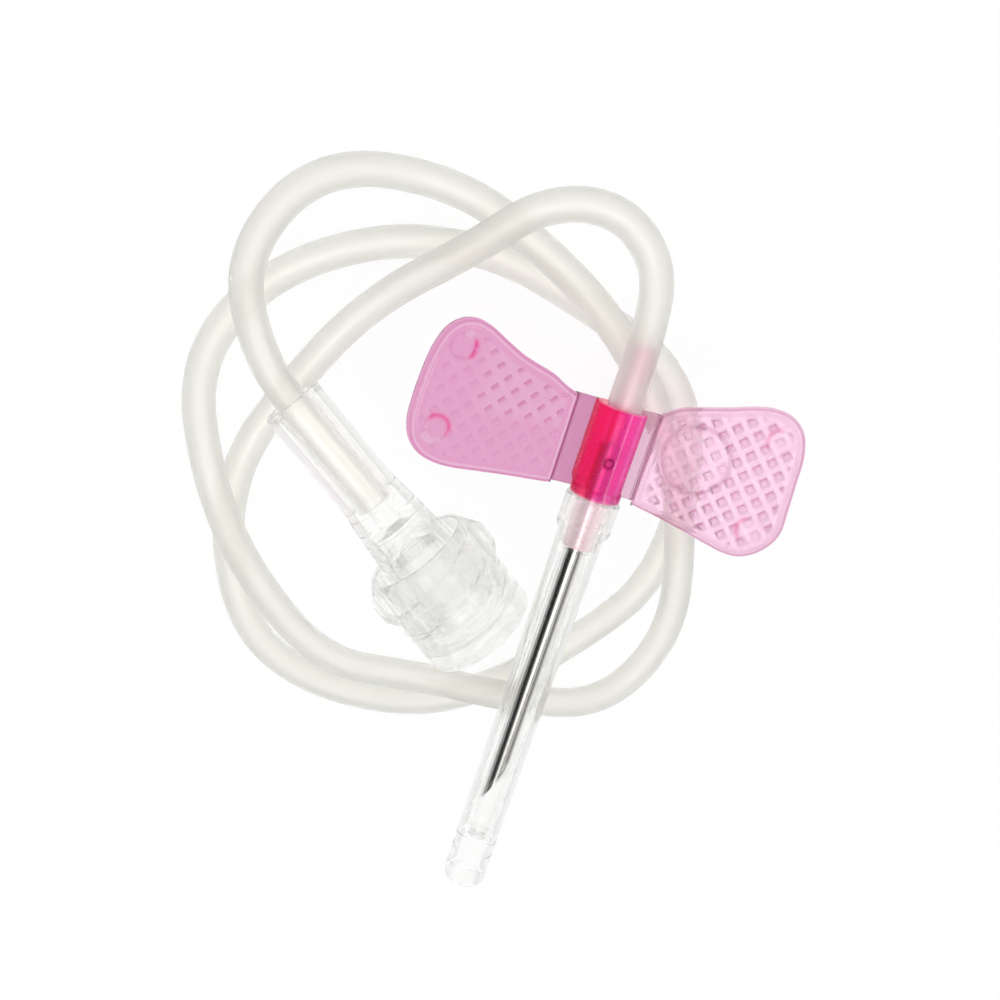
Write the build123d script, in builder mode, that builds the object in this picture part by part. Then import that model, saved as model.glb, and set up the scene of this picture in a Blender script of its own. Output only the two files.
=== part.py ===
from build123d import *
import os
from math import cos, degrees, pi, radians, sin, tan

# Butterfly needle with its coil of tube, in millimetres.
# +Y runs along the needle from its tip to the hub, +X along the right wing,
# +Z is up. The origin is on the needle's axis in the plane of its tip.

os.makedirs("parts", exist_ok=True)

# What the set lies on
TABLE_Z = -7.3

# Needle: the steel cannula and its ground bevel
NEEDLE_R = 0.635
NEEDLE_BORE_R = 0.45
NEEDLE_END_Y = 31.5
BEVEL_LENGTH = 4.3
BEVEL_ROLL = 50.0        # degrees from straight up towards the right wing
LANCET_TURN = 42.0
LANCET_ANGLE = 27.0

# Hub
NOSE_Y = 23.3
SHOULDER_Y = 27.4
REAR_Y = 34.3
NOSE_TIP_R = 1.10
NOSE_ROOT_R = 1.30
FLANGE_R = 1.95
SPIGOT_R = 0.79
SPIGOT_LENGTH = 4.5
FLOW_R = 0.45
CORE_HALF_WIDTH = 1.85
CORE_TOP_Z = 1.75
CORE_BOTTOM_Z = -1.55

# Wings and the living hinge that joins each to the hub
HINGE_X = 3.0
HINGE_Z = -1.35
DIHEDRAL = 16.0
WEB_THICKNESS = 0.4
WEB_EDGE_X = 2.95
WING_ROOT = 0.25
WING_HALF_THICKNESS = 0.4
WING_EDGE_CHAMFER = 0.2
RING_DEPTH = 0.12

# Tube
TUBE_R = 1.2
TUBE_BORE_R = 0.8
SLEEVE_R = 1.3
SLEEVE_LENGTH = 2.7

# Needle sheath
SHEATH_END_Y = -7.4
SHEATH_BARREL_R = 1.70
BARREL_END_Y = 0.6
SHEATH_NECK_R = 1.76
COLLAR_Y = 24.45
COLLAR_R = 2.08
SHEATH_MOUTH_Y = 27.25
SHEATH_CAVITY_Y = -3.3
SHEATH_CAVITY_R = 1.0

# Luer connector and its cap, both on one axis that lies level
MOUTH = (-22.846, 27.915, -2.45)
ALONG = (0.7903, -0.6127, 0.0)
SIDE = (0.6127, 0.7903, 0.0)
SOCKET_R = 2.3
SOCKET_BORE_R = 1.215
SOCKET_DEPTH = 9.75
LUER_START = SOCKET_DEPTH + 2.25
LUER_END = LUER_START + 8.6
LUER_OUTER_R = 3.05
LUER_MOUTH_R = 2.15
LUER_TAPER = 0.03
CAP_START = LUER_START + 1.3
CAP_END = LUER_END + 2.55
CAP_R = 4.65
CAP_WALL = 0.7
CAP_BORE_R = CAP_R - CAP_WALL
CAP_FLOOR = CAP_END - 1.25
LUG_R = CAP_BORE_R - 0.1
PLUG_GAP = 0.04
EAR_REACH = 0.5
EAR_R = CAP_R + EAR_REACH
EAR_THICKNESS = 1.6

# The tube's route from the hub's rear face to the socket's floor
ROUTE = [
    (0, 34.3, 0), (0, 39.3, 0), (-0.6, 44.3, -0.5), (-4.4, 47.2, -1.2), (-9.4, 46.2, -1.7),
    (-13.2, 41.7, -3.1), (-18.5, 36.4, -5.4), (-22.1, 30.6, -6.1), (-26.6, 20.0, -6.1), (-23.5, 8.6, -6.1),
    (-17.1, 3.9, -6.1), (-7.4, 3.6, -6.1), (-0.8, 7.4, -6.1), (5.3, 13.9, -6.1), (9.1, 19.9, -6.1),
    (8.9, 29.7, -6.1), (4.8, 37.0, -6.1), (-3.3, 39.8, -6.1), (-11.4, 41.8, -6.1), (-19.6, 40.4, -6.1),
    (-27.1, 35.2, -6.1), (-30.4, 27.9, -5.3), (-27.3, 19.9, -3.5), (-22.9, 13.2, -3.7), (-15.7, 6.8, -4.5),
    (-8.2, 7.7, -3.9), (-0.9, 7.7, -3.5), (7.7, 8.2, -4.2), (11.5, 16.1, -4.2), (8.7, 25.6, -3.4),
    (5.3, 32.2, -3.8), (-1.0, 38.9, -3.4), (-7.7, 42.8, -4.1), (-15.3, 45.6, -6.0), (-24.7, 44.3, -4.7),
    (-28.7, 36.7, -3.6), (-25.53, 30.0, -2.45), (-20.55, 26.145, -2.45), (-15.18, 21.972, -2.45),
]

NEEDLE_PLANE = Plane(origin=(0, 0, 0), x_dir=(1, 0, 0), z_dir=(0, 1, 0))
LUER_PLANE = Plane(origin=MOUTH, x_dir=SIDE, z_dir=(0, 0, -1))
LUER_AXIS = Axis(MOUTH, ALONG)

# Needle: a thin steel tube with a long bevel and two lancet facets at its point
roll = radians(BEVEL_ROLL)
facing = Vector(sin(roll), 0, cos(roll))
point = facing * -NEEDLE_R
along_y = Vector(0, 1, 0)
bevel_normal = facing * BEVEL_LENGTH - along_y * (2 * NEEDLE_R)
with BuildPart() as needle:
    with BuildSketch(NEEDLE_PLANE):
        Circle(NEEDLE_R)
        Circle(NEEDLE_BORE_R, mode=Mode.SUBTRACT)
    extrude(amount=NEEDLE_END_Y)
    with BuildSketch(Plane(origin=point, z_dir=bevel_normal)):
        Rectangle(30, 30)
    extrude(amount=8, mode=Mode.SUBTRACT)
    for turn in (-LANCET_TURN, LANCET_TURN):
        side_facing = Vector(sin(roll + radians(turn)), 0, cos(roll + radians(turn)))
        lancet_normal = side_facing * cos(radians(LANCET_ANGLE)) - along_y * sin(radians(LANCET_ANGLE))
        with BuildSketch(Plane(origin=point, z_dir=lancet_normal)):
            Rectangle(30, 30)
        extrude(amount=8, mode=Mode.SUBTRACT)

# Hub: nose, flange, faceted core, web strips out to the hinges, and the rear spigot
with BuildPart() as hub:
    with BuildSketch(Plane.XY):
        with BuildLine():
            Polyline(
                (0, NOSE_Y), (NOSE_TIP_R - 0.12, NOSE_Y), (NOSE_TIP_R, NOSE_Y + 0.12), (NOSE_ROOT_R, SHOULDER_Y - 0.05),
                (FLANGE_R - 0.1, SHOULDER_Y), (FLANGE_R, SHOULDER_Y + 0.1), (FLANGE_R, SHOULDER_Y + 0.7),
                (1.5, SHOULDER_Y + 0.9), (1.5, REAR_Y), (SPIGOT_R, REAR_Y), (SPIGOT_R, REAR_Y + SPIGOT_LENGTH - 0.2),
                (SPIGOT_R - 0.12, REAR_Y + SPIGOT_LENGTH), (0, REAR_Y + SPIGOT_LENGTH), (0, NOSE_Y),
            )
        make_face()
    revolve(axis=Axis.Y)
    with BuildSketch(Plane(origin=(0, SHOULDER_Y + 0.15, 0), x_dir=(-1, 0, 0), z_dir=(0, 1, 0))):
        Polygon(
            (-CORE_HALF_WIDTH, CORE_BOTTOM_Z), (CORE_HALF_WIDTH, CORE_BOTTOM_Z), (CORE_HALF_WIDTH, 0.35), (1.2, 1.4),
            (0.6, CORE_TOP_Z), (-0.6, CORE_TOP_Z), (-1.2, 1.4), (-CORE_HALF_WIDTH, 0.35), align=None,
        )
    extrude(amount=REAR_Y - SHOULDER_Y - 0.15)
    with BuildSketch(Plane.XY.offset(HINGE_Z - WEB_THICKNESS / 2)):
        with Locations((0, (SHOULDER_Y + REAR_Y) / 2)):
            Rectangle(2 * WEB_EDGE_X, REAR_Y - SHOULDER_Y - 0.3)
    extrude(amount=WEB_THICKNESS)
    with BuildSketch(Plane.XY.offset(CORE_TOP_Z)):
        with Locations((0, 30.4)):
            Circle(0.48)
            Circle(0.30, mode=Mode.SUBTRACT)
    extrude(amount=-0.12, mode=Mode.SUBTRACT)
    with BuildSketch(NEEDLE_PLANE.offset(NOSE_Y)):
        Circle(NEEDLE_R + 0.005)
    extrude(amount=NEEDLE_END_Y - NOSE_Y + 0.02, mode=Mode.SUBTRACT)
    with BuildSketch(NEEDLE_PLANE.offset(NEEDLE_END_Y - 0.5)):
        Circle(FLOW_R)
    extrude(amount=REAR_Y + SPIGOT_LENGTH - NEEDLE_END_Y + 1, mode=Mode.SUBTRACT)

# Wings: a thin plate on each side, wider at its rounded tip, with chamfered edges and moulding rings.
# Each outline goes from the front of the root round the tip to the back of the root, as distance from
# the hinge, y and corner radius.
left_corners = [(WING_ROOT, 27.3, 0), (12.55, 26.95, 4.0), (11.65, 39.1, 2.6), (1.0, 34.4, 0), (WING_ROOT, 34.1, 0)]
right_corners = [(WING_ROOT, 27.15, 0), (11.7, 25.15, 2.9), (10.55, 38.55, 2.85), (1.2, 35.1, 0), (WING_ROOT, 34.2, 0)]
left_rings = [(9.36, 35.8, 0.92), (10.09, 29.4, 0.90)]
right_rings = [(3.25, 32.9, 2.5)]
lean = radians(DIHEDRAL)


def wing(side, corners, rings):
    """One wing, on the right for side 1 and on the left for side -1."""
    plane = Plane(origin=(side * HINGE_X, 0, HINGE_Z), x_dir=(cos(lean), 0, side * sin(lean)), z_dir=(-side * sin(lean), 0, cos(lean)))
    with BuildPart() as plate:
        with BuildSketch(plane.offset(-WING_HALF_THICKNESS)) as outline:
            Polygon(*[(side * out, y) for out, y, _ in corners], align=None)
            for out, y, radius in corners:
                if radius:
                    fillet(outline.vertices().sort_by_distance(plane.offset(-WING_HALF_THICKNESS).from_local_coords(Vector(side * out, y, 0)))[0], radius=radius)
        extrude(amount=2 * WING_HALF_THICKNESS)
        chamfer(plate.faces().filter_by(Axis(plane.origin, plane.z_dir)).edges(), length=WING_EDGE_CHAMFER)
        with BuildSketch(plane.offset(WING_HALF_THICKNESS)):
            for out, y, radius in rings:
                with Locations((side * out, y)):
                    Circle(radius + 0.12)
                    Circle(radius - 0.12, mode=Mode.SUBTRACT)
        extrude(amount=-RING_DEPTH, mode=Mode.SUBTRACT)
    return plate


wing_left = wing(-1, left_corners, left_rings)
wing_right = wing(1, right_corners, right_rings)

# Tube: one run of tangent arcs, a light prism of eight sides, with its first stretch widened
# by the spigot and bored for it
points = [Vector(*p) for p in ROUTE]
radii = []
for before, corner, after in zip(points, points[1:], points[2:]):
    shorter = min((corner - before).length, (after - corner).length)
    half_turn = radians((corner - before).get_angle(after - corner)) / 2
    radii.append(0.45 * shorter / tan(half_turn))
print("tube radii", [round(r, 1) for r in radii])
with BuildPart() as tube:
    with BuildLine() as tube_path:
        FilletPolyline(*points, radius=radii)
    with BuildSketch(Plane(origin=points[0], z_dir=(0, 1, 0))) as tube_section:
        RegularPolygon(TUBE_R, 8)
    sweep()
    swept_volume = tube.part.volume
    with BuildSketch(Plane.XY):
        with BuildLine():
            Polyline(
                (TUBE_R - 0.2, REAR_Y), (SLEEVE_R, REAR_Y), (SLEEVE_R, REAR_Y + SLEEVE_LENGTH - 0.8),
                (TUBE_R, REAR_Y + SLEEVE_LENGTH), (TUBE_R - 0.2, REAR_Y + SLEEVE_LENGTH), (TUBE_R - 0.2, REAR_Y),
            )
        make_face()
    revolve(axis=Axis.Y)
    with BuildSketch(NEEDLE_PLANE.offset(REAR_Y)):
        Circle(TUBE_BORE_R)
    extrude(amount=SPIGOT_LENGTH + 0.1, mode=Mode.SUBTRACT)
tube_length = sum(edge.length for edge in tube_path.edges())
expected_volume = tube_section.sketch.area * tube_length
print("tube length", round(tube_length, 1), "volume", round(swept_volume, 1), "section times length", round(expected_volume, 1))

# Needle sheath: a closed sleeve, straight near its closed end, then with a slight draft up to the
# collar at its mouth
with BuildPart() as needle_sheath:
    with BuildSketch(Plane.XY):
        with BuildLine():
            Polyline(
                (0, SHEATH_END_Y), (SHEATH_BARREL_R - 0.35, SHEATH_END_Y), (SHEATH_BARREL_R, SHEATH_END_Y + 0.35),
                (SHEATH_BARREL_R, BARREL_END_Y), (SHEATH_NECK_R, COLLAR_Y), (COLLAR_R, COLLAR_Y + 0.25), (COLLAR_R, SHEATH_MOUTH_Y - 0.15),
                (COLLAR_R - 0.15, SHEATH_MOUTH_Y),
                (NOSE_ROOT_R + 0.04, SHEATH_MOUTH_Y), (NOSE_TIP_R + 0.035, NOSE_Y - 0.1), (SHEATH_CAVITY_R, NOSE_Y - 0.1),
                (SHEATH_CAVITY_R, SHEATH_CAVITY_Y + 0.35), (SHEATH_CAVITY_R - 0.35, SHEATH_CAVITY_Y), (0, SHEATH_CAVITY_Y),
                (0, SHEATH_END_Y),
            )
        make_face()
    revolve(axis=Axis.Y)

# Luer connector: socket for the tube, stop ring, ribbed flare and a tapered female end with two lugs
with BuildPart() as luer_connector:
    with BuildSketch(LUER_PLANE):
        with BuildLine():
            Polyline(
                (SOCKET_BORE_R + 0.25, 0), (SOCKET_R - 0.15, 0), (SOCKET_R, 0.2), (SOCKET_R, SOCKET_DEPTH - 1.35),
                (SOCKET_R + 0.15, SOCKET_DEPTH - 0.95), (SOCKET_R + 0.15, SOCKET_DEPTH - 0.15), (SOCKET_R + 0.35, SOCKET_DEPTH + 0.05),
                (SOCKET_R + 0.35, SOCKET_DEPTH + 0.55), (SOCKET_R + 0.2, SOCKET_DEPTH + 0.75),
                (LUER_OUTER_R, LUER_START + 0.6), (LUER_OUTER_R, LUER_END - 0.15), (LUER_OUTER_R - 0.15, LUER_END),
                (LUER_MOUTH_R, LUER_END), (LUER_MOUTH_R - LUER_TAPER * (LUER_END - LUER_START), LUER_START),
                (TUBE_BORE_R, LUER_START - 0.4), (TUBE_BORE_R, SOCKET_DEPTH), (SOCKET_BORE_R, SOCKET_DEPTH), (SOCKET_BORE_R, 0.4),
                (SOCKET_BORE_R + 0.25, 0),
            )
        make_face()
    revolve(axis=LUER_AXIS)
    with BuildSketch(LUER_PLANE.offset(-0.25)):
        for side in (-1, 1):
            Polygon(
                (side * (SOCKET_R - 0.1), LUER_START - 1.6), (side * (LUER_OUTER_R - 0.1), LUER_START + 0.2),
                (side * (LUER_OUTER_R - 0.1), LUER_START + 1.0), (side * (SOCKET_R - 0.1), LUER_START + 1.0), align=None,
            )
    extrude(amount=0.5)
    with BuildSketch(Plane(origin=LUER_PLANE.from_local_coords(Vector(0, LUER_END - 1.4, 0)), x_dir=SIDE, z_dir=ALONG)):
        Circle(LUG_R)
        Rectangle(2.6, 9, mode=Mode.INTERSECT)
        Circle(LUER_OUTER_R - 0.2, mode=Mode.SUBTRACT)
    extrude(amount=1.25)

# Luer cap: closed, with a tapered plug inside, a skirt round the connector's end and two ears
plug_end_r = LUER_MOUTH_R - PLUG_GAP
plug_tip_r = LUER_MOUTH_R - LUER_TAPER * (LUER_END - CAP_START - 1.2) - PLUG_GAP
with BuildPart() as luer_cap:
    with BuildSketch(LUER_PLANE):
        with BuildLine():
            Polyline(
                (0, CAP_END), (CAP_R - 0.45, CAP_END), (CAP_R, CAP_END - 0.45), (CAP_R, CAP_START + 5.9),
                (CAP_R - 0.07, CAP_START + 5.8), (CAP_R - 0.07, CAP_START + 0.3), (CAP_R - 0.3, CAP_START), (CAP_BORE_R + 0.12, CAP_START),
                (CAP_BORE_R, CAP_START + 0.2), (CAP_BORE_R, CAP_FLOOR), (plug_end_r, CAP_FLOOR), (plug_end_r, LUER_END),
                (plug_tip_r, CAP_START + 1.4), (plug_tip_r - 0.2, CAP_START + 1.2), (0, CAP_START + 1.2), (0, CAP_END),
            )
        make_face()
    revolve(axis=LUER_AXIS)
    for side in (-1, 1):
        with BuildSketch(LUER_PLANE.offset(-EAR_THICKNESS / 2)) as ear:
            Polygon(
                (side * (CAP_R - 0.45), CAP_START + 0.05), (side * EAR_R, CAP_START + 0.05), (side * EAR_R, CAP_START + 3.3),
                (side * (CAP_R - 0.15), CAP_START + 4.9), (side * (CAP_R - 0.45), CAP_START + 4.9), align=None,
            )
            fillet(ear.vertices().filter_by(lambda v: abs(abs(LUER_PLANE.to_local_coords(v.center()).X) - EAR_R) < 0.01), radius=0.85)
        extrude(amount=EAR_THICKNESS)

for node, piece in (
    ("needle", needle), ("hub", hub), ("wing_left", wing_left), ("wing_right", wing_right), ("tube", tube),
    ("needle_sheath", needle_sheath), ("luer_connector", luer_connector), ("luer_cap", luer_cap),
):
    piece.part.label = node
    export_step(piece.part, f"parts/{node}.step")
    print(node, "solids", len(piece.part.solids()), "volume", round(piece.part.volume, 2))
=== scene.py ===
"""Butterfly needle lying in its loose coil of tube, dressed for a plain studio picture.

Sizes are in millimetres and become metres as each mesh is made. +Y runs along the
needle to the hub, +X along the right wing, +Z is up, and the origin is on the needle's
axis at its tip. Each sub-assembly is a class that holds its sizes, makes its surfaces
with numpy and puts its own finish on them.
"""

from __future__ import annotations

import logging
import math
from dataclasses import dataclass, field
from enum import Enum
from typing import Any

import bmesh
import bpy
import numpy as np
from mathutils import Matrix, Vector

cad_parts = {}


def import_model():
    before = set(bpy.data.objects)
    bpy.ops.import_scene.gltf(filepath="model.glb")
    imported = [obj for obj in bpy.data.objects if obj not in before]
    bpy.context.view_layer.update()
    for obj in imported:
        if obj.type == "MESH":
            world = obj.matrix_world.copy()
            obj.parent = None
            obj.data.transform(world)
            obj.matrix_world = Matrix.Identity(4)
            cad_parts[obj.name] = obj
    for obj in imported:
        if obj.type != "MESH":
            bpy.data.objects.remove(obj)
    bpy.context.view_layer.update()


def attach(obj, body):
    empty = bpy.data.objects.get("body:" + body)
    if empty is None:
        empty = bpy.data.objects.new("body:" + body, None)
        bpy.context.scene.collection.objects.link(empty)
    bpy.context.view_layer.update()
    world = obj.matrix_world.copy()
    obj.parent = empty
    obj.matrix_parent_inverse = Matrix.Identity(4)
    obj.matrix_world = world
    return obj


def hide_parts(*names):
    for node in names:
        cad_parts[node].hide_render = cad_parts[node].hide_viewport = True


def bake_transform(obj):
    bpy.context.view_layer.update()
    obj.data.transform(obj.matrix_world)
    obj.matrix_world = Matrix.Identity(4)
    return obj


MM = 0.001
# Nearly all of a noise lies between these two values
NOISE = (0.3, 0.7)
Rows = tuple[tuple[float, float, float], ...]
log = logging.getLogger("butterfly_needle")


class Side(Enum):
    """Which wing, and the sign of its x."""

    LEFT = -1
    RIGHT = 1


def linear(hex_colour: str, alpha: float = 1.0) -> tuple[float, float, float, float]:
    """Turns an sRGB hex colour into linear light.

    Args:
        hex_colour: Colour such as "#E8A8CC".
        alpha: Fourth value of the result.

    Returns:
        Red, green, blue and alpha for a node's colour socket.
    """
    shown = np.array([int(hex_colour[i : i + 2], 16) for i in (1, 3, 5)]) / 255
    light = np.where(shown <= 0.04045, shown / 12.92, ((shown + 0.055) / 1.055) ** 2.4)
    return (*light.tolist(), alpha)


def add(
    tree: bpy.types.NodeTree,
    kind: str,
    settings: dict[str | int, Any] | None = None,
    links: dict[str | int, bpy.types.NodeSocket] | None = None,
) -> bpy.types.Node:
    """Adds one node, sets it and links its inputs.

    Args:
        tree: Node tree that the node joins.
        kind: Blender's name for the node's type.
        settings: Values by name or number of an input, or by name of a property.
        links: Outputs of other nodes, by name or number of the input they feed.

    Returns:
        The new node.
    """
    made = tree.nodes.new(kind)
    for key, value in (settings or {}).items():
        if isinstance(key, int) or key in made.inputs:
            made.inputs[key].default_value = value
        else:
            setattr(made, key, value)
    for key, source in (links or {}).items():
        tree.links.new(source, made.inputs[key])
    return made


def shaded(
    tree: bpy.types.NodeTree, stops: tuple[tuple[float, str], ...], place: bpy.types.NodeSocket
) -> bpy.types.NodeSocket:
    """Adds a colour ramp.

    Args:
        tree: Node tree that the ramp joins.
        stops: Positions from 0 to 1 with their hex colours, in order.
        place: What is looked up on the ramp.

    Returns:
        The ramp's colour.
    """
    made = add(tree, "ShaderNodeValToRGB", {}, {0: place})
    elements = made.color_ramp.elements
    elements[0].position, elements[0].color = stops[0][0], linear(stops[0][1])
    elements[1].position, elements[1].color = stops[-1][0], linear(stops[-1][1])
    for position, colour in stops[1:-1]:
        elements.new(position).color = linear(colour)
    return made.outputs["Color"]


def ranged(
    tree: bpy.types.NodeTree, value: bpy.types.NodeSocket, start: float, end: float, low: float = 0.0, high: float = 1.0
) -> bpy.types.NodeSocket:
    """Adds a number that goes from low to high as a value goes from start to end.

    Args:
        tree: Node tree that the node joins.
        value: The value.
        start: Value where the number is low.
        end: Value where it is high.
        low: First number.
        high: Second number.

    Returns:
        The number.
    """
    limits = {"From Min": start, "From Max": end, "To Min": low, "To Max": high}
    return add(tree, "ShaderNodeMapRange", limits, {"Value": value}).outputs["Result"]


def rounded(corners: Rows, closed: bool = True, steps: int = 6) -> np.ndarray:
    """Rounds a profile's corners.

    A corner C with reach k becomes the curve (1-t)(1-t)A + 2t(1-t)C + ttB, where A and B
    lie k away from C on the sides before and after it.

    Args:
        corners: Rows of distance along the axis, radius, and reach, in millimetres.
        closed: True where the last corner joins the first.
        steps: Points on each rounded corner.

    Returns:
        Profile points as rows of distance along the axis and radius.
    """
    table = np.array(corners, float)
    place, reach = table[:, :2], table[:, 2:]
    if not closed:
        reach = reach.copy()
        reach[0] = reach[-1] = 0
    back, on = np.roll(place, 1, 0) - place, np.roll(place, -1, 0) - place
    back = back / np.linalg.norm(back, axis=1, keepdims=True)
    on = on / np.linalg.norm(on, axis=1, keepdims=True)
    t = np.linspace(0, 1, steps)[None, :, None]
    start, end = (place + back * reach)[:, None], (place + on * reach)[:, None]
    curve = (1 - t) ** 2 * start + 2 * t * (1 - t) * place[:, None] + t**2 * end
    return curve.reshape(-1, 2)


def distances(path: np.ndarray) -> np.ndarray:
    """Distance of each point of a path from the first, along the path."""
    return np.concatenate([[0], np.cumsum(np.linalg.norm(np.diff(path, axis=0), axis=1))])


def refined(profile: np.ndarray, spacing: float, closed: bool = True) -> np.ndarray:
    """Puts extra points on a profile, so that no two are further apart than a spacing.

    The points' distances along the profile are joined with evenly spaced ones, and both
    coordinates are read off at each of them.

    Args:
        profile: Profile points.
        spacing: Largest distance between neighbours in millimetres.
        closed: True where the last point joins the first.

    Returns:
        The profile with its old points and the new ones.
    """
    path = np.vstack([profile, profile[:1]]) if closed else profile
    run = distances(path)
    marks = np.union1d(run.round(6), np.arange(0, run[-1], spacing).round(6))
    if closed:
        marks = marks[:-1]
    return np.stack([np.interp(marks, run, path[:, 0]), np.interp(marks, run, path[:, 1])], 1)


def ease(value: np.ndarray, low: float, high: float) -> np.ndarray:
    """Rises smoothly from 0 at low to 1 at high, as 3tt - 2ttt of the share t between them."""
    share = np.clip((value - low) / (high - low), 0, 1)
    return share * share * (3 - 2 * share)


def window(value: np.ndarray, low: float, high: float, edge: float) -> np.ndarray:
    """Is 1 between low and high and eases to 0 over an edge at each of them."""
    return ease(value, low - edge / 2, low + edge / 2) * (1 - ease(value, high - edge / 2, high + edge / 2))


def bell(value: np.ndarray, middle: float, width: float) -> np.ndarray:
    """Is 1 at the middle and exp(-dd) at d widths from it."""
    return np.exp(-(((value - middle) / width) ** 2))


def turned(along: np.ndarray, radius: np.ndarray, angle: np.ndarray) -> np.ndarray:
    """Surface round the y axis: height a and radius r at angle q give (r cos q, a, r sin q).

    Args:
        along: Distance along the axis for each row.
        radius: Radius for each row and angle.
        angle: Angles in radians.

    Returns:
        Grid of points, rows by angles by 3.
    """
    return np.stack([radius * np.cos(angle), np.broadcast_to(along, radius.shape), radius * np.sin(angle)], -1)


def round_trip(count: int) -> np.ndarray:
    """Evenly spaced angles of one turn, without the last."""
    return np.linspace(0, 2 * np.pi, count, endpoint=False)


@dataclass(frozen=True)
class Axes:
    """Where a piece's own axes lie in the shared frame."""

    origin: tuple[float, float, float] = (0.0, 0.0, 0.0)
    side: tuple[float, float, float] = (1.0, 0.0, 0.0)
    along: tuple[float, float, float] = (0.0, 1.0, 0.0)

    def place(self, points: np.ndarray) -> np.ndarray:
        """Point (x, y, z) goes to origin + x times side + y times along + z times up."""
        return np.array(self.origin) + points @ np.array([self.side, self.along, (0.0, 0.0, 1.0)])


NEEDLE_AXES = Axes()
LUER_AXES = Axes((-22.846, 27.915, -2.45), (0.6127, 0.7903, 0.0), (0.7903, -0.6127, 0.0))


@dataclass
class Surface:
    """A closed grid of points in millimetres, with values that the finish reads."""

    points: np.ndarray
    wraps_rows: bool = True
    values: dict[str, np.ndarray] = field(default_factory=dict)

    def faces(self, first: int) -> np.ndarray:
        """Four-sided faces between neighbouring rows and columns, counted from a first index."""
        rows, columns = self.points.shape[:2]
        index = np.arange(rows * columns).reshape(rows, columns) + first
        right, below = np.roll(index, -1, 1), np.roll(index, -1, 0)
        faces = np.stack([index, right, np.roll(right, -1, 0), below], -1)
        return (faces if self.wraps_rows else faces[:-1]).reshape(-1, 4)


def placed(name: str, data: bpy.types.ID) -> bpy.types.Object:
    """Makes an object of a mesh, curve, lamp or camera and puts it in the scene."""
    made = bpy.data.objects.new(name, data)
    bpy.context.scene.collection.objects.link(made)
    return made


def make_piece(name: str, surfaces: list[Surface], axes: Axes = NEEDLE_AXES, crease: float = 32.0) -> bpy.types.Object:
    """Makes one mesh object of closed surfaces.

    Args:
        name: Name of the object.
        surfaces: Closed surfaces, in the piece's own axes.
        axes: Place of those axes.
        crease: Edges that bend by more degrees than this stay crisp.

    Returns:
        The object, at the origin, with its place in its mesh.
    """
    counts = np.cumsum([0] + [s.points[..., 0].size for s in surfaces])
    points = np.concatenate([axes.place(s.points.reshape(-1, 3)) for s in surfaces]) * MM
    faces = np.concatenate([s.faces(int(n)) for s, n in zip(surfaces, counts)])
    mesh = bpy.data.meshes.new(name)
    mesh.from_pydata(points.tolist(), [], faces.tolist())
    for key in sorted({key for s in surfaces for key in s.values}):
        blank = [np.zeros(s.points[..., 0].size) for s in surfaces]
        values = np.concatenate([s.values.get(key, b).reshape(-1) for s, b in zip(surfaces, blank)])
        mesh.attributes.new(key, "FLOAT", "POINT").data.foreach_set("value", values.astype(np.float32))
    work = bmesh.new()
    work.from_mesh(mesh)
    bmesh.ops.remove_doubles(work, verts=work.verts, dist=2e-7)
    bmesh.ops.recalc_face_normals(work, faces=work.faces)
    work.to_mesh(mesh)
    work.free()
    mesh.shade_smooth()
    mesh.set_sharp_from_angle(angle=math.radians(crease))
    log.info("%s: %d faces", name, len(mesh.polygons))
    return placed(name, mesh)


def new_material(name: str) -> tuple[bpy.types.Material, bpy.types.NodeTree, bpy.types.Node]:
    """Makes an empty node material and its output node."""
    material = bpy.data.materials.new(name)
    material.use_nodes = True
    material.node_tree.nodes.clear()
    return material, material.node_tree, add(material.node_tree, "ShaderNodeOutputMaterial")


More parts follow.
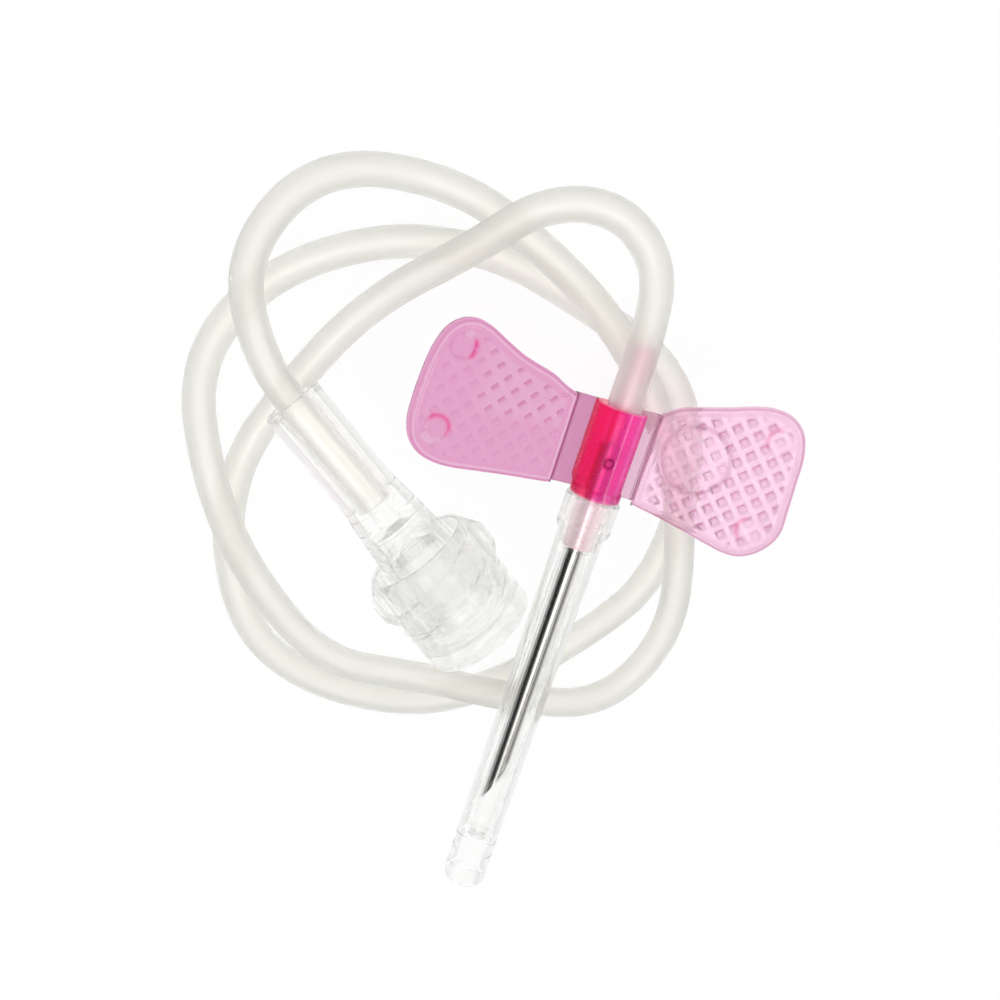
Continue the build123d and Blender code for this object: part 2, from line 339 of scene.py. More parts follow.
@dataclass(frozen=True)
class ClearPlastic:
    """A see-through moulding or extrusion: tint, haze and a veil that lets light straight through.

    The veil is the share of plain transparency mixed in. Lamps reach through the plastic,
    so that what lies under it is lit as it is under the real one. Where its colour
    differs over the piece, stops across X give it, and each tone takes the colour's
    place by the share in the attribute that it names. On the hub, wings and webs these
    stops and tones carry painted shade, highlights and reflections.
    """

    name: str
    colour: str
    shadow: str
    roughness: float
    ior: float
    transmission: float = 1.0
    veil: float = 0.0
    ripple_mm: float = 2.0
    ripple: float = 0.02
    haze: float = 0.02
    gloss: float = 0.5
    across_mm: float = 1.9
    across: tuple[tuple[float, str], ...] = ()
    tones: tuple[tuple[str, str], ...] = ()

    def tint(self, tree: bpy.types.NodeTree, place: bpy.types.Node, shader: bpy.types.Node) -> None:
        """Links the colour where it differs over the piece.

        Args:
            tree: The material's nodes.
            place: Its texture coordinates.
            shader: The shader whose colour is linked.
        """
        source = None
        if self.across:
            # Stops across X: on the hub, painted shade and highlights
            split = add(tree, "ShaderNodeSeparateXYZ", {}, {0: place.outputs["Object"]})
            share = ranged(tree, split.outputs["X"], -self.across_mm * MM, self.across_mm * MM)
            source = shaded(tree, self.across, share)
        # Tones by attribute: on the wings and webs, painted shade, highlights and reflections among them
        for name, colour in self.tones:
            amount = add(tree, "ShaderNodeAttribute", {"attribute_name": name})
            links: dict[str | int, bpy.types.NodeSocket] = {0: amount.outputs["Fac"]}
            if source is not None:
                links[6] = source
            mixed = add(tree, "ShaderNodeMix", {"data_type": "RGBA", 6: linear(self.colour), 7: linear(colour)}, links)
            source = mixed.outputs[2]
        if source is not None:
            tree.links.new(source, shader.inputs["Base Color"])

    def build(self) -> bpy.types.Material:
        """Builds the material.

        Returns:
            Plastic whose roughness varies a little over ripple_mm, whose surface has the
            faint waves of its mould, and which lamps shine through.
        """
        material, tree, output = new_material(self.name)
        place = add(tree, "ShaderNodeTexCoord")
        grain = {"Scale": 1 / (self.ripple_mm * MM), "Detail": 3.0}
        waves = add(tree, "ShaderNodeTexNoise", grain, {"Vector": place.outputs["Object"]})
        smooth, dull = max(self.roughness - self.haze, 0.005), self.roughness + self.haze
        rough = ranged(tree, waves.outputs["Fac"], *NOISE, smooth, dull)
        relief = {"Strength": self.ripple, "Distance": 0.1 * MM}
        bump = add(tree, "ShaderNodeBump", relief, {"Height": waves.outputs["Fac"]})
        shader = add(
            tree,
            "ShaderNodeBsdfPrincipled",
            {
                "Base Color": linear(self.colour), "Transmission Weight": self.transmission, "IOR": self.ior,
                "Specular IOR Level": self.gloss,
            },
            {"Roughness": rough, "Normal": bump.outputs["Normal"]},
        )
        self.tint(tree, place, shader)
        skin = shader
        if self.veil:
            straight = add(tree, "ShaderNodeBsdfTransparent", {"Color": linear(self.shadow)})
            skin = add(tree, "ShaderNodeMixShader", {0: self.veil}, {1: shader.outputs[0], 2: straight.outputs[0]})
        path = add(tree, "ShaderNodeLightPath")
        through = add(tree, "ShaderNodeBsdfTransparent", {"Color": linear(self.shadow)})
        sources = {0: path.outputs["Is Shadow Ray"], 1: skin.outputs[0], 2: through.outputs[0]}
        surface = add(tree, "ShaderNodeMixShader", {}, sources)
        tree.links.new(surface.outputs[0], output.inputs["Surface"])
        return material


@dataclass(frozen=True)
class DrawnSteel:
    """Stainless cannula, drawn to size and polished, with painted reflections in dark and bright bands along it."""

    name: str
    reflection_bands: tuple[tuple[float, str], ...]
    radius_mm: float
    facing: tuple[float, float]
    roughness: float
    line_mm: float

    def build(self) -> bpy.types.Material:
        """Builds the material.

        The bands are painted reflections: colours fixed to the tube that lie along it. They
        don't follow the light or the eye. A point's place on their ramp is its distance across,
        x times the facing's first number plus z times its second, over the radius.

        Returns:
            Metal with fine lines along Y, the way it was drawn, drawn coarse enough to show.
        """
        material, tree, output = new_material(self.name)
        place = add(tree, "ShaderNodeTexCoord")
        side, up = (value / (self.radius_mm * MM) for value in self.facing)
        towards = {"operation": "DOT_PRODUCT", 1: (side, 0.0, up)}
        over = add(tree, "ShaderNodeVectorMath", towards, {0: place.outputs["Object"]})
        # Painted reflections: dark and bright bands across the tube, in place of its base colour
        reflection_bands = shaded(tree, self.reflection_bands, ranged(tree, over.outputs["Value"], -1.0, 1.0))
        along = add(tree, "ShaderNodeMapping", {"Scale": (1.0, 0.02, 1.0)}, {"Vector": place.outputs["Object"]})
        grain = {"Scale": 1 / (self.line_mm * MM), "Detail": 2.0}
        lines = add(tree, "ShaderNodeTexNoise", grain, {"Vector": along.outputs["Vector"]})
        rough = ranged(tree, lines.outputs["Fac"], *NOISE, self.roughness * 0.7, self.roughness * 1.5)
        bump = add(tree, "ShaderNodeBump", {"Strength": 0.15, "Distance": 0.01 * MM}, {"Height": lines.outputs["Fac"]})
        shader = add(
            tree,
            "ShaderNodeBsdfPrincipled",
            {"Metallic": 1.0},
            {"Base Color": reflection_bands, "Roughness": rough, "Normal": bump.outputs["Normal"]},
        )
        tree.links.new(shader.outputs[0], output.inputs["Surface"])
        return material


# Clear polystyrene, moulded and glossy: colourless, with soft grey lines where it bends light
MOULDED_STYRENE = ClearPlastic(
    "moulded_polystyrene", "#FFFFFF", "#FDFDFC", 0.05, 1.32, veil=0.42, ripple_mm=3.0, ripple=0.03, haze=0.03
)
# Clear polypropylene, moulded: a little softer to the eye than the connector's polystyrene
MOULDED_SLEEVE = ClearPlastic(
    "moulded_clear_polypropylene", "#FFFFFF", "#FCFCFB", 0.04, 1.28, veil=0.32, ripple_mm=5.0, ripple=0.01, haze=0.02
)
# Matt extruded PVC: its fine frosted skin scatters light, so the bore shows only as a paler core
FROSTED_PVC = ClearPlastic(
    "frosted_pvc", "#F2F1EE", "#FAFAF8", 0.34, 1.38,
    transmission=0.80, veil=0.26, ripple_mm=5.0, ripple=0.005, haze=0.02,
)
# Soft tinted PVC, moulded thin: painted shade and highlights show its pits, rings and rim, and painted reflections of
# the hub's pink lie on its rings
TINTED_WING = ClearPlastic(
    "tinted_pvc_wing", "#E4A3CA", "#FBEFF5", 0.10, 1.34, ripple_mm=1.4, ripple=0.08, haze=0.05,
    tones=(("pale", "#F3E4EA"), ("dark", "#B85490"), ("mark", "#EE2A84")),
)
# The same plastic in the thin strips beside the hub: a painted reflection of the hub's pink deepens their colour, with
# painted shade by the hinge
TINTED_WEB = ClearPlastic(
    "tinted_pvc_web", "#D292B7", "#F8E4EE", 0.12, 1.30, ripple_mm=1.4, ripple=0.04, haze=0.05,
    tones=(("pale", "#F6DCE8"), ("mark", "#5E2344")),
)
# The same plastic in the thick hub: its ramp across X, strong red on one side and magenta on the other with pale
# streaks, is painted shade and highlight; pale at nose and spigot
TINTED_HUB = ClearPlastic(
    "tinted_pvc_hub", "#EA1F78", "#EFA0C4", 0.30, 1.30,
    transmission=0.66, ripple_mm=1.0, ripple=0.05, haze=0.06, gloss=0.2,
    # Painted shade and highlights: deeper red on one side, pale streaks of painted highlight between
    across=(
        (0.0, "#F41A50"), (0.16, "#FF1A56"), (0.30, "#FA2880"), (0.34, "#FA48AC"), (0.50, "#F83CAC"), (0.55, "#FA4CB0"),
        (0.57, "#FFB0D6"), (0.59, "#F63C9C"), (0.74, "#EE44A4"), (0.80, "#F67CC0"), (0.84, "#EE44A4"), (1.0, "#D84094"),
    ),
    tones=(("nose", "#FDF0F4"), ("rear", "#F8EAEE"), ("mark", "#6A0830")),
)
# Stainless steel tube, drawn and polished: its bands are painted reflections, laid on as they show from the
# photograph's side
CANNULA_STEEL = DrawnSteel(
    "drawn_stainless_steel",
    (
        (0.03, "#6A6866"), (0.08, "#484848"), (0.12, "#686664"), (0.17, "#202020"), (0.25, "#121212"),
        (0.31, "#1C1C1C"), (0.36, "#3C3A38"), (0.405, "#A09E9A"), (0.45, "#F8F6F2"), (0.50, "#F8F6F2"),
        (0.55, "#D0CECA"), (0.595, "#8A8884"), (0.65, "#D6D4D0"), (0.69, "#CECCC8"), (0.75, "#626060"),
        (0.79, "#686664"), (0.85, "#C8C6C2"), (0.93, "#F4F4F2"), (1.0, "#F4F4F2"),
    ),
    0.635, (0.9598, 0.2807), 0.11, 0.06,
)


def dress(piece: bpy.types.Object, material: bpy.types.Material, slot: str, body: str, *nodes: str) -> bpy.types.Object:
    """Gives a piece its finish, its place on a body and the CAD nodes that it stands for.

    Args:
        piece: The new object.
        material: Its finish.
        slot: Material slot of the record. It is not used.
        body: Body that it rides on.
        nodes: CAD nodes that it replaces.

    Returns:
        The same object.
    """
    piece.data.materials.clear()
    piece.data.materials.append(material)
    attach(piece, body)
    if nodes:
        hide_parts(*nodes)
    return piece


@dataclass
class Cannula:
    """The steel needle: a thin tube whose tip is ground to a bevel and two lancet facets."""

    outer: float = 0.635
    bore: float = 0.45
    end: float = 31.5
    bevel: float = 4.3
    roll: float = 50.0
    lancet_turn: float = 42.0
    lancet_angle: float = 27.0

    def front(self, radius: np.ndarray, angle: np.ndarray) -> np.ndarray:
        """Where the ground tip begins.

        The tip is cut by three planes through its point. Each plane's y grows with the
        distance across the tube in the direction that it faces, and the furthest back of
        the three is the surface.

        Args:
            radius: Distances from the axis.
            angle: Angles from +X in radians.

        Returns:
            Distance along the axis for each point.
        """
        facing = math.radians(90 - self.roll)
        across = radius * np.cos(angle - facing)
        planes = [(across + self.outer) * self.bevel / (2 * self.outer)]
        turn, slope = math.radians(self.lancet_turn), 1 / math.tan(math.radians(self.lancet_angle))
        planes += [
            (radius * np.cos(angle - facing - way * turn) + self.outer * math.cos(turn)) * slope for way in (-1, 1)
        ]
        return np.maximum.reduce(planes)

    def surface(self) -> Surface:
        """Outer wall, ground face and bore as one closed grid, 128 columns round."""
        angle = round_trip(128)
        share = np.linspace(0, 1, 40)[:, None]
        face = np.linspace(self.outer, self.bore, 6)[:, None] * np.ones_like(angle)
        outer_y = self.end + (self.front(self.outer * np.ones((1, 128)), angle) - self.end) * share
        bore_y = self.end + (self.front(self.bore * np.ones((1, 128)), angle) - self.end) * share[::-1]
        radius = np.concatenate([np.full_like(outer_y, self.outer), face[1:-1], np.full_like(bore_y, self.bore)])
        along = np.concatenate([outer_y, self.front(face, angle)[1:-1], bore_y])
        return Surface(turned(along, radius, angle))

    def build(self) -> bpy.types.Object:
        """Makes the needle."""
        piece = make_piece("cannula", [self.surface()], crease=20.0)
        return dress(piece, CANNULA_STEEL.build(), "steel", "set", "needle")


@dataclass
class Hub:
    """The pink hub: nose, flange, faceted core, rear spigot and the bore through them."""

    core: float = 1.85
    gate_at: tuple[float, float] = (-0.2, 30.4)
    gate_radius: float = 0.33
    gate_depth: float = 0.10
    profile: Rows = (
        (23.3, 0.64, 0.04), (23.3, 1.10, 0.12), (27.35, 1.30, 0.06), (27.42, 1.90, 0.08), (28.05, 1.90, 0.08),
        (28.15, 1.85, 0.05), (34.3, 1.85, 0.22), (34.3, 0.79, 0.08), (38.8, 0.79, 0.12), (38.8, 0.45, 0.06),
        (31.52, 0.45, 0.02), (31.52, 0.64, 0.02),
    )
    flats: tuple[tuple[float, float], ...] = (
        (-90.0, 1.55), (0.0, 1.85), (180.0, 1.85), (31.8, 1.757), (148.2, 1.757), (59.7, 1.814), (120.3, 1.814),
        (90.0, 1.75),
    )

    def reach(self, angle: np.ndarray) -> np.ndarray:
        """How far the core goes out in each direction.

        Each flat at distance d facing angle f is reached after d / cos(q - f). The nearest
        flat counts, and a sum of 18th powers instead of a plain minimum rounds the edges
        between them.

        Args:
            angle: Angles from +X in radians.

        Returns:
            Distance from the axis for each angle.
        """
        facing = np.radians([f for f, _ in self.flats])[:, None]
        distance = np.array([d for _, d in self.flats])[:, None]
        share = np.clip(np.cos(angle - facing), 0, None) / distance
        return (share**18).sum(0) ** (-1 / 18)

    def surface(self) -> Surface:
        """The whole hub as one closed grid.

        It is a turned surface, and where its profile is as wide as the core, behind the
        flange, the circle gives way to the core's faceted outline. The mark of the
        mould's gate is a fine sunk ring on the top.
        """
        angle = round_trip(160)
        profile = refined(rounded(self.profile), 0.12)
        along, radius = profile[:, :1], profile[:, 1:] * np.ones_like(angle)
        weight = np.clip((profile[:, 1:] - 1.2) / (self.core - 1.2), 0, 1) * ease(along, 27.9, 28.25)
        radius = radius * (1 + weight * (self.reach(angle) / self.core - 1))
        points = turned(along, radius, angle)
        gate = np.hypot(points[..., 0] - self.gate_at[0], points[..., 1] - self.gate_at[1])
        on_top = points[..., 2] > 1.2
        mark = bell(gate, self.gate_radius, 0.08) * on_top
        points[..., 2] -= self.gate_depth * mark
        nose = 1 - ease(points[..., 1], 27.3, 27.6)
        rear = ease(points[..., 1], 34.2, 34.4)
        return Surface(points, values={"mark": mark, "nose": nose, "rear": rear})

    def build(self) -> bpy.types.Object:
        """Makes the hub."""
        piece = make_piece("hub_moulding", [self.surface()], crease=34.0)
        return dress(piece, TINTED_HUB.build(), "hub_plastic", "set", "hub")


@dataclass(frozen=True)
class Ring:
    """A moulding ring on a wing: place, radius and height, and its arcs of painted reflection of the hub's pink and of
    painted highlight.
    """

    out: float
    along: float
    radius: float
    height: float
    # Bearings of the arc of painted reflection of the hub's pink, and its strength
    hot: tuple[float, float] = (0.0, 0.0)
    strength: float = 0.0
    # Bearings of the arc of painted highlight
    bright: tuple[float, float] = (0.0, 0.0)


@dataclass
class Wing:
    """One soft wing: a thin plate with a rounded edge, square grip pits and moulding rings.

    The four numbers of clear are the middle and half width of the field where the grip's
    painted shade and highlights are faint, and the places along the needle where they fade
    in. The rib highlight is the share of painted highlight between pits, and the painted
    sheen, a lamp's reflection, is the least share of painted highlight anywhere on top.
    """

    side: Side
    outline: list[tuple[float, float]]
    rings: list[Ring]
    grip_at: tuple[float, float]
    clear: tuple[float, float, float, float]
    hinge_x: float = 3.0
    hinge_z: float = -1.35
    lean: float = 16.0
    half: float = 0.4
    centre: tuple[float, float] = (6.6, 31.8)
    columns: int = 560
    pitch: float = 1.117
    pit: float = 0.70
    pit_depth: float = 0.26
    pit_slope: float = 0.12
    corner: float = 0.3
    blocks: int = 80
    ring_width: float = 0.11
    glow_width: float = 0.19
    # Painted highlight on the ribs between pits
    rib_highlight: float = 0.35
    # Painted sheen: a lamp's reflection laid over the wing's top as paler colour
    painted_sheen: float = 0.0

    @property
    def label(self) -> str:
        """Name of the wing's body and node."""
        return f"wing_{self.side.name.lower()}"

    def edge(self) -> np.ndarray:
        """The outline as a smooth closed curve with evenly spaced points.

        Between two outline points runs the cubic that passes through both and whose slope
        at each is half the step between its neighbours. Its points are then read off at
        even distances along it.

        Returns:
            Curve points as rows of distance from the hinge and y.
        """
        p1 = np.array(self.outline)[:, None]
        p0, p2, p3 = np.roll(p1, 1, 0), np.roll(p1, -1, 0), np.roll(p1, -2, 0)
        t = (np.arange(40) / 40)[None, :, None]
        square, cube = 2 * p0 - 5 * p1 + 4 * p2 - p3, 3 * p1 - p0 - 3 * p2 + p3
        curve = 0.5 * (2 * p1 + (p2 - p0) * t + square * t**2 + cube * t**3)
        loop = curve.reshape(-1, 2)
        loop = np.vstack([loop, loop[:1]])
        run = distances(loop)
        marks = np.linspace(0, run[-1], self.columns, endpoint=False)
        return np.stack([np.interp(marks, run, loop[:, 0]), np.interp(marks, run, loop[:, 1])], 1)

    def depth_inside(self, points: np.ndarray, edge: np.ndarray) -> np.ndarray:
        """Distance from each point to the outline.

        The foot of a point on each straight stretch of the outline lies at the share of
        the stretch that the point's offset has along it, kept between 0 and 1. The
        distance to the nearest foot counts. Blocks of points are taken one by one to
        save memory.

        Args:
            points: Points as rows of distance from the hinge and y.
            edge: The outline's points.

        Returns:
            One distance for each point.
        """
        step = np.roll(edge, -1, 0) - edge
        length = (step**2).sum(1)
        nearest = []
        for block in np.array_split(points, self.blocks):
            offset = block[:, None] - edge
            share = np.clip((offset * step).sum(-1) / length, 0, 1)
            nearest.append(np.linalg.norm(offset - share[..., None] * step, axis=-1).min(1))
        return np.concatenate(nearest)

    def pits(self, out: np.ndarray, along: np.ndarray, inside: np.ndarray) -> tuple[np.ndarray, np.ndarray, np.ndarray]:
        """The grip's square pits and their painted shade and highlight.

        The pits stand in rows turned 45 degrees to the needle. Within one cell the larger
        of the two distances from its middle makes a square, whose walls slope down to a
        flat floor. Painted shade darkens a pit towards the side that faces back along
        the needle and away from the hub, painted highlight lightens the other side, and
        the ribs between the pits carry painted highlight.

        Args:
            out: Distance from the hinge.
            along: Place along the needle.
            inside: Distance inside the edge.

        Returns:
            Depth in millimetres, and the shares of the painted shade and the painted highlight.
        """
        p = ((out + along) / math.sqrt(2) - self.grip_at[0]) / self.pitch + 0.5
        q = ((along - out) / math.sqrt(2) - self.grip_at[1]) / self.pitch + 0.5
        u, v = (p - np.floor(p) - 0.5) * self.pitch, (q - np.floor(q) - 0.5) * self.pitch
        hollow = np.clip((self.pit / 2 - np.maximum(np.abs(u), np.abs(v))) / self.pit_slope, 0, 1)
        field_of = ease(inside, 0.75, 1.0) * ease(out, 0.9, 1.3)
        far, near, low, high = self.clear
        plain = 0.25 + 0.75 * ease(along, low, high) * (1 - ease(np.abs(out - far), near, near + 2.0))
        lit = (v if self.side is Side.RIGHT else u) / (self.pit / 2)
        # Painted shade on the pit walls turned from the light, painted highlight on the others and on the ribs
        dark = hollow * np.clip(0.45 + 0.55 * lit, 0, 1) * field_of * plain
        pale = (hollow * np.clip(-0.2 - lit, 0, 1) + self.rib_highlight * (1 - hollow)) * field_of * plain
        return self.pit_depth * hollow * field_of, dark, pale

    def surface(self) -> Surface:
        """Top and bottom of the plate as one closed grid.

        The columns run round the outline and the rows from the middle of the top out to
        the edge and back to the middle of the bottom. The edge is a quarter round on each
        side, with a fine groove just inside it, and the pits and rings go into the top. A
        ring's arcs of painted highlight and painted pink reflection are wider than its ridge,
        which is lined with painted shade. A line of painted shade and one of painted highlight
        follow the edge, and the painted sheen lies over the whole top.
        """
        edge = self.edge()
        spoke = edge - np.array(self.centre)
        rim = 1 - 0.07 * (1 - np.sin(np.linspace(0.08, 1, 16) * np.pi / 2))
        share = np.concatenate([np.linspace(0, 0.93, 110), rim])
        under = np.concatenate([rim[-2::-1], np.linspace(0.93, 0, 8)])
        count = share.size
        share = np.concatenate([share, under])
        flat = np.array(self.centre) + share[:, None, None] * spoke
        inside = self.depth_inside(flat.reshape(-1, 2), edge).reshape(flat.shape[:2])
        out, along = flat[..., 0], flat[..., 1]
        rise = np.sqrt(np.clip(1 - (1 - np.clip(inside / self.corner, 0, 1)) ** 2, 0, 1))
        half = (self.half - self.corner) + self.corner * rise
        line = bell(inside, 0.50, 0.08)
        grip, dark, pale = self.pits(out, along, inside)
        mark = np.zeros_like(out)
        for ring in self.rings:
            off = np.hypot(out - ring.out, along - ring.along)
            ridge = bell(off, ring.radius, self.ring_width)
            within = 1 - ease(off, ring.radius - 0.2, ring.radius + 0.1)
            bearing = np.degrees(np.arctan2(along - ring.along, out - ring.out)) % 360
            grip = grip * (1 - 0.65 * within) + ring.height * ridge
            # Painted shade along each ring's ridge; the grip's tones fade inside the ring
            dark, pale = dark * (1 - 0.6 * within) + 2.0 * ring.height * ridge, pale * (1 - 0.7 * within)
            if ring.strength:
                wide = bell(off, ring.radius, self.glow_width)
                # Painted reflection of the hub's pink on the ring's arc
                mark = np.maximum(mark, ring.strength * wide * window(bearing, *ring.hot, 24.0))
                # Painted highlight on the ring's other arc
                pale = np.maximum(pale, wide * window(bearing, *ring.bright, 20.0))
        # Painted highlight along the rounded edge and the painted sheen over the top; painted shade at the very edge
        pale = np.maximum(np.maximum(pale, 0.8 * bell(inside, 0.36, 0.06)), self.painted_sheen)
        dark = np.maximum(dark, 0.5 * bell(inside, 0.16, 0.07))
        upper = (np.arange(share.size) < count)[:, None]
        height = np.where(upper, half - 0.05 * line - grip, -half)
        height[count - 1] = 0.0
        lean = math.radians(self.lean)
        x = self.side.value * (self.hinge_x + out * math.cos(lean) - height * math.sin(lean))
        z = self.hinge_z + out * math.sin(lean) + height * math.cos(lean)
        tones = {"mark": mark * upper, "dark": dark * upper, "pale": pale * upper}
        return Surface(np.stack([x, along, z], -1), wraps_rows=False, values=tones)

    def web(self) -> Surface:
        """The thin strip between hub and wing, with the hinge groove along it.

        A flat band from the core to the wing's root. Its thickness dips by a third in a
        rounded groove 0.3 mm wide at the hinge line, and a line of painted shade lies beside the
        groove. A wing with a painted sheen has a band of painted highlight as well.
        """
        profile = np.linspace(0, 1, 65)
        out = 1.6 + (self.hinge_x + 0.34 - 1.6) * profile
        groove = bell(out - self.hinge_x, 0.02, 0.09)
        root = ease(out, self.hinge_x + 0.02, self.hinge_x + 0.34)
        top = self.hinge_z + 0.2 - 0.07 * groove + 0.12 * root
        bottom = self.hinge_z - 0.2 + 0.06 * groove - 0.08 * root
        loop_x = np.concatenate([out, out[::-1]]) * self.side.value
        loop_z = np.concatenate([top, bottom[::-1]])
        lengths = np.array([27.42, 27.45, 27.55, 27.7, 30.8, 34.0, 34.15, 34.25, 34.28])
        thin = np.array([0.0, 0.75, 0.97, 1, 1, 1, 0.97, 0.75, 0.0])
        x = np.tile(loop_x, (lengths.size, 1))
        y = np.broadcast_to(lengths[:, None], x.shape)
        z = self.hinge_z + (loop_z - self.hinge_z) * thin[:, None]
        # Painted shade beside the hinge groove
        line = bell(np.abs(x) - self.hinge_x, 0.16, 0.045) * (z > self.hinge_z)
        # Painted highlight where the wing has a painted sheen
        pale = np.full_like(line, 0.6 * self.painted_sheen)
        x[0] = x[-1] = loop_x.mean()
        return Surface(np.stack([x, y, z], -1), wraps_rows=False, values={"mark": 0.85 * line, "pale": pale})

    def build(self, finish: bpy.types.Material, strip: bpy.types.Material) -> list[bpy.types.Object]:
        """Makes the wing and its web.

        Args:
            finish: The tinted plastic, shared by both wings.
            strip: Its deeper tint for the webs.

        Returns:
            The wing's plate and the web beside it.
        """
        plate = make_piece(f"{self.label}_plate", [self.surface()], crease=50.0)
        dress(plate, finish, "wing_plastic", self.label, self.label)
        web = make_piece(f"{self.label}_web", [self.web()], crease=50.0)
        web.data.materials.append(strip)
        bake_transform(web)
        return [plate, web]


@dataclass
class Tubing:
    """The frosted tube: one hollow run along a smooth line from the hub to the socket."""

    outer: float = 1.2
    bore: float = 0.8
    sleeve: float = 1.3
    columns: int = 32
    route: Rows = (
        (0, 34.3, 0), (0, 39.3, 0), (-0.6, 44.3, -0.5), (-4.4, 47.2, -1.2), (-9.4, 46.2, -1.7),
        (-13.2, 41.7, -3.1), (-18.5, 36.4, -5.4), (-22.1, 30.6, -6.1), (-26.6, 20.0, -6.1), (-23.5, 8.6, -6.1),
        (-17.1, 3.9, -6.1), (-7.4, 3.6, -6.1), (-0.8, 7.4, -6.1), (5.3, 13.9, -6.1), (9.1, 19.9, -6.1),
        (8.9, 29.7, -6.1), (4.8, 37.0, -6.1), (-3.3, 39.8, -6.1), (-11.4, 41.8, -6.1), (-19.6, 40.4, -6.1),
        (-27.1, 35.2, -6.1), (-30.4, 27.9, -5.3), (-27.3, 19.9, -3.5), (-22.9, 13.2, -3.7), (-15.7, 6.8, -4.5),
        (-8.2, 7.7, -3.9), (-0.9, 7.7, -3.5), (7.7, 8.2, -4.2), (11.5, 16.1, -4.2), (8.7, 25.6, -3.4),
        (5.3, 32.2, -3.8), (-1.0, 38.9, -3.4), (-7.7, 42.8, -4.1), (-15.3, 45.6, -6.0), (-24.7, 44.3, -4.7),
        (-28.7, 36.7, -3.6), (-25.53, 30.0, -2.45), (-20.55, 26.145, -2.45), (-15.18, 21.972, -2.45),
    )

    def line(self) -> np.ndarray:
        """Points along the smooth spline that the route's points control, in millimetres."""
        curve = bpy.data.curves.new("tube_line", "CURVE")
        curve.dimensions = "3D"
        spline = curve.splines.new("NURBS")
        spline.points.add(len(self.route) - 1)
        metres = np.hstack([np.array(self.route, float) * MM, np.ones((len(self.route), 1))])
        spline.points.foreach_set("co", metres.astype(np.float32).ravel())
        spline.order_u = 3
        spline.use_endpoint_u = True
        spline.resolution_u = 14
        holder = placed("tube_line", curve)
        bpy.context.view_layer.update()
        mesh = bpy.data.meshes.new_from_object(holder)
        points = np.empty(len(mesh.vertices) * 3, np.float32)
        mesh.vertices.foreach_get("co", points)
        bpy.data.objects.remove(holder)
        bpy.data.meshes.remove(mesh)
        return points.reshape(-1, 3).astype(float) / MM

    def surface(self, line: np.ndarray) -> Surface:
        """Outer wall and bore as one closed grid.

        At each point of the line stands a circle in the plane across it, whose axes are up
        crossed with the line's direction, and the direction crossed with that. The first
        stretch is wider, where the hub's spigot stretches it.

        Args:
            line: Points along the middle of the tube.

        Returns:
            The closed surface.
        """
        ahead = np.gradient(line, axis=0)
        ahead /= np.linalg.norm(ahead, axis=1, keepdims=True)
        across = np.cross((0.0, 0.0, 1.0), ahead)
        across /= np.linalg.norm(across, axis=1, keepdims=True)
        upright = np.cross(ahead, across)
        run = distances(line)
        angle = round_trip(self.columns)
        ring = across[:, None] * np.cos(angle)[None, :, None] + upright[:, None] * np.sin(angle)[None, :, None]
        swell = (self.sleeve - self.outer) * (1 - ease(run, 1.2, 3.8))
        outer = line[:, None] + ring * (self.outer + swell)[:, None, None]
        bore = line[:, None] + ring * (self.bore + 0.1 * swell)[:, None, None]
        return Surface(np.concatenate([outer, bore[::-1]]))

    def build(self, ends: list[bpy.types.Object]) -> bpy.types.Object:
        """Args:
            ends: The pieces that lie on it. It is not used.

        Returns:
            The tube.
        """
        line = self.line()
        piece = make_piece("tube_run", [self.surface(line)], crease=60.0)
        dress(piece, FROSTED_PVC.build(), "tube_plastic", "set", "tube")
        log.info("tube line is %.1f mm long", distances(line)[-1])
        return piece


@dataclass
class NeedleSheath:
    """The clear closed sleeve over the needle, with a collar at its mouth."""

    profile: Rows = (
        (-7.4, 0.0, 0.0), (-7.4, 1.70, 0.16), (-4.6, 1.70, 0.05), (-4.5, 1.66, 0.04), (-3.9, 1.66, 0.04),
        (-3.8, 1.70, 0.05), (0.6, 1.70, 0.02), (24.35, 1.755, 0.10), (24.75, 2.08, 0.12), (27.25, 2.08, 0.14),
        (27.25, 1.36, 0.06), (23.2, 1.14, 0.04), (23.1, 1.00, 0.04), (-1.9, 1.00, 0.60), (-3.3, 0.62, 0.45),
        (-3.3, 0.0, 0.0),
    )

    def build(self) -> bpy.types.Object:
        """Makes the sheath, a turned surface closed at both poles."""
        angle = round_trip(128)
        profile = refined(rounded(self.profile, closed=False), 0.5, closed=False)
        along, radius = profile[:, :1], profile[:, 1:] * np.ones_like(angle)
        surface = Surface(turned(along, radius, angle), wraps_rows=False)
        piece = make_piece("sheath_sleeve", [surface], crease=30.0)
        return dress(piece, MOULDED_SLEEVE.build(), "clear_plastic", "needle_sheath", "needle_sheath")


